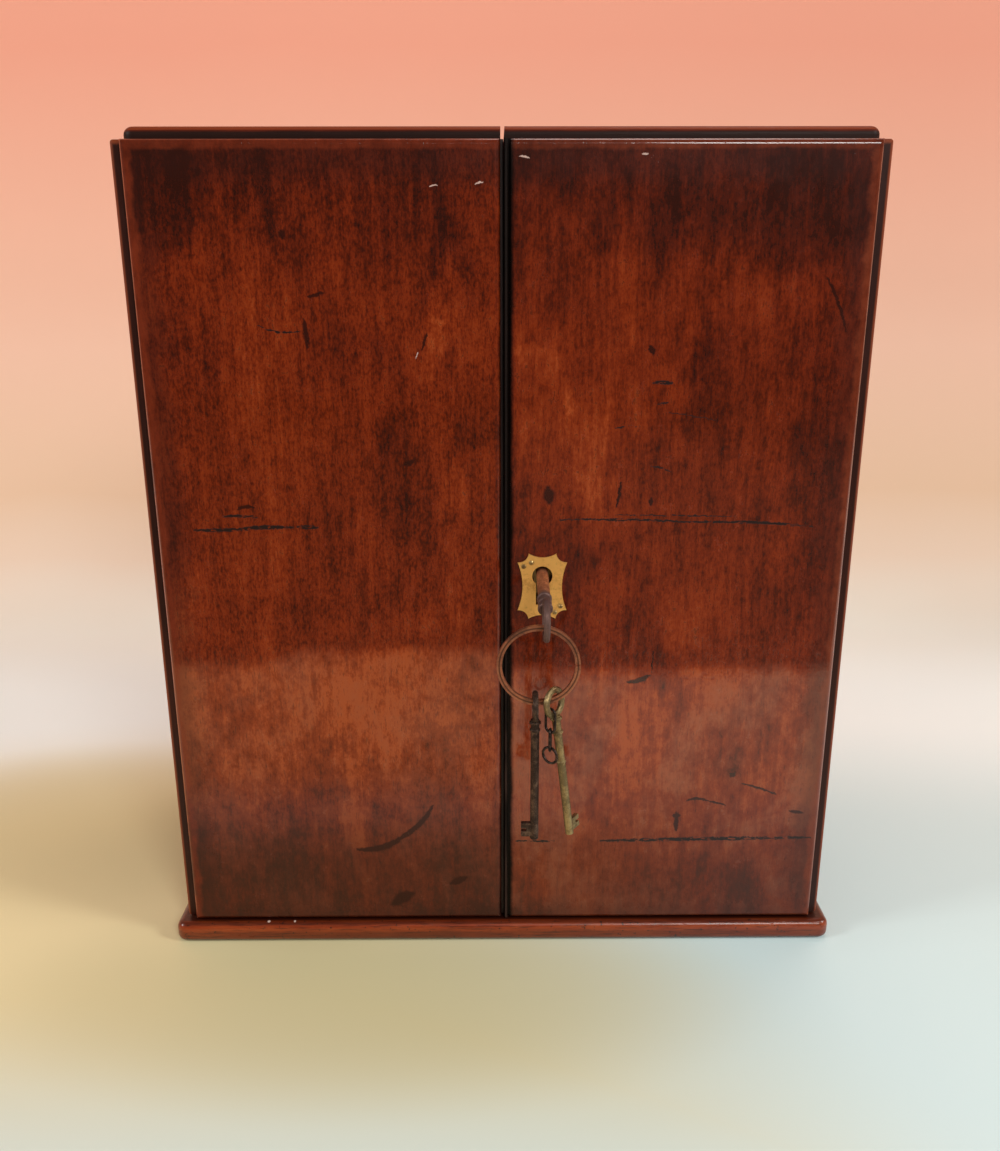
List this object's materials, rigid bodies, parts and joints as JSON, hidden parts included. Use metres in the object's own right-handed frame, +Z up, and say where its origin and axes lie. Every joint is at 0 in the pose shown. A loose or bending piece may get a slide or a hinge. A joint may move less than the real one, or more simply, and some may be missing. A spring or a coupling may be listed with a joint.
{
  "type": "stationery box",
  "caption": "Upright mahogany box for papers with a pair of deep hinged doors, a letter rack and pen tray inside, a lock, and keys on a ring hanging from the lock",
  "frame": {"origin": "middle of the underside of the base board, on the surface that the box stands on", "axes": "+X to the right as seen from the front, +Y to the back, +Z up; the doors face -Y"},
  "size_m": [0.3148, 0.2135, 0.361],
  "materials": {
    "mahogany_facing": "aged varnish, half gloss",
    "inner_mahogany": "plain planed wood",
    "base_mahogany": "aged varnish, half gloss",
    "dark_bead": "worn varnish",
    "rack_mahogany": "plain planed wood",
    "hinge_brass": "dull",
    "screw_brass": "dull",
    "screw_steel": "dull",
    "escutcheon_brass": "polished",
    "lock_brass": "dull",
    "key_bronze": "worn",
    "ring_steel": "worn",
    "key_iron": "dark",
    "key_brass": "worn",
    "chain_iron": "dark"
  },
  "bodies": {
    "case": {"base_board": "base_mahogany", "base_screws": "screw_steel", "case_left_side": "inner_mahogany", "case_right_side": "inner_mahogany", "case_left_side_facing": "mahogany_facing", "case_right_side_facing": "mahogany_facing", "case_top": "inner_mahogany", "case_top_facing": "mahogany_facing", "case_bottom": "inner_mahogany", "case_back": "inner_mahogany", "shelf": "rack_mahogany", "shelf_partition": "rack_mahogany", "letter_divider_front": "rack_mahogany", "letter_divider_middle": "rack_mahogany", "letter_divider_rear": "rack_mahogany", "pen_tray": "rack_mahogany", "hinge_case_plates": "hinge_brass", "hinge_pins": "hinge_brass", "case_hinge_screws": "screw_brass"},
    "left_door": {"left_door_board": "inner_mahogany", "left_door_hinge_stile": "inner_mahogany", "left_door_meeting_stile": "inner_mahogany", "left_door_top_rail": "inner_mahogany", "left_door_bottom_rail": "inner_mahogany", "left_door_front_facing": "mahogany_facing", "left_door_side_facing": "mahogany_facing", "left_door_top_facing": "mahogany_facing", "left_door_paper_rail": "rack_mahogany", "closing_strip": "dark_bead", "strike_plate": "lock_brass", "slide_bolt_plate": "lock_brass", "left_door_fitting_screws": "screw_brass", "left_hinge_door_plates": "hinge_brass", "left_hinge_door_screws": "screw_brass"},
    "right_door": {"right_door_board": "inner_mahogany", "right_door_hinge_stile": "inner_mahogany", "right_door_meeting_stile": "inner_mahogany", "right_door_top_rail": "inner_mahogany", "right_door_bottom_rail": "inner_mahogany", "right_door_front_facing": "mahogany_facing", "right_door_side_facing": "mahogany_facing", "right_door_top_facing": "mahogany_facing", "right_door_paper_rail": "rack_mahogany", "meeting_bead": "dark_bead", "escutcheon": "escutcheon_brass", "escutcheon_pins": "escutcheon_brass", "lock_case": "lock_brass", "lock_cap": "lock_brass", "lock_screws": "screw_brass", "right_hinge_door_plates": "hinge_brass", "right_hinge_door_screws": "screw_brass"},
    "slide_bolt": {"slide_bolt": "lock_brass"},
    "lock_key": {"lock_key": "key_bronze"},
    "lock_bolt": {"lock_bolt": "lock_brass"},
    "split_ring": {"split_ring": "ring_steel"},
    "iron_key": {"iron_key": "key_iron"},
    "brass_key": {"brass_key": "key_brass"},
    "chain_upper_link": {"chain_upper_link": "chain_iron"},
    "chain_lower_link": {"chain_lower_link": "chain_iron"},
    "small_ring": {"small_ring": "chain_iron"}
  },
  "joints": [
    {"name": "left_door_hinge", "type": "hinge", "parent": "case", "child": "left_door", "pos_m": [-0.1548, -0.03, 0.1833], "axis": [0, 0, -1], "range_deg": [0, 180]},
    {"name": "right_door_hinge", "type": "hinge", "parent": "case", "child": "right_door", "pos_m": [0.1548, -0.03, 0.1833], "axis": [0, 0, 1], "range_deg": [0, 180]},
    {"name": "slide_bolt_drop", "type": "slide", "parent": "left_door", "child": "slide_bolt", "axis": [0, 0, -1], "range_m": [0, 0.006]},
    {"name": "key_turn", "type": "hinge", "parent": "right_door", "child": "lock_key", "pos_m": [0.017, -0.0832, 0.1816], "axis": [0, -0.9781, -0.2079], "range_deg": [0, 360]},
    {"name": "lock_bolt_throw", "type": "slide", "parent": "right_door", "child": "lock_bolt", "axis": [-1, 0, 0], "range_m": [0, 0.006]},
    {"name": "ring_swing", "type": "hinge", "parent": "lock_key", "child": "split_ring", "pos_m": [0.017, -0.1192, 0.17037], "axis": [-1, 0, 0], "range_deg": [-14, 90]},
    {"name": "iron_key_swing", "type": "hinge", "parent": "split_ring", "child": "iron_key", "pos_m": [0.0129, -0.1192, 0.13889], "axis": [-1, 0, 0], "range_deg": [-8, 60]},
    {"name": "brass_key_swing", "type": "hinge", "parent": "split_ring", "child": "brass_key", "pos_m": [0.0201, -0.1192, 0.14002], "axis": [-1, 0, 0], "range_deg": [-8, 60]},
    {"name": "upper_link_swing", "type": "hinge", "parent": "brass_key", "child": "chain_upper_link", "pos_m": [0.019, -0.12149, 0.13675], "axis": [-0.788, 0.6157, 0], "range_deg": [-1, 42]},
    {"name": "lower_link_swing", "type": "hinge", "parent": "chain_upper_link", "child": "chain_lower_link", "pos_m": [0.019, -0.12149, 0.12635], "axis": [-0.788, 0.6157, 0], "range_deg": [-2, 50]},
    {"name": "small_ring_swing", "type": "hinge", "parent": "chain_lower_link", "child": "small_ring", "pos_m": [0.019, -0.12149, 0.11945], "axis": [-0.788, 0.6157, 0], "range_deg": [-8, 60]}
  ],
  "couplings": [
    {"joint": "lock_bolt_throw", "follows": "key_turn", "m_per_rad": 0.000954}
  ]
}
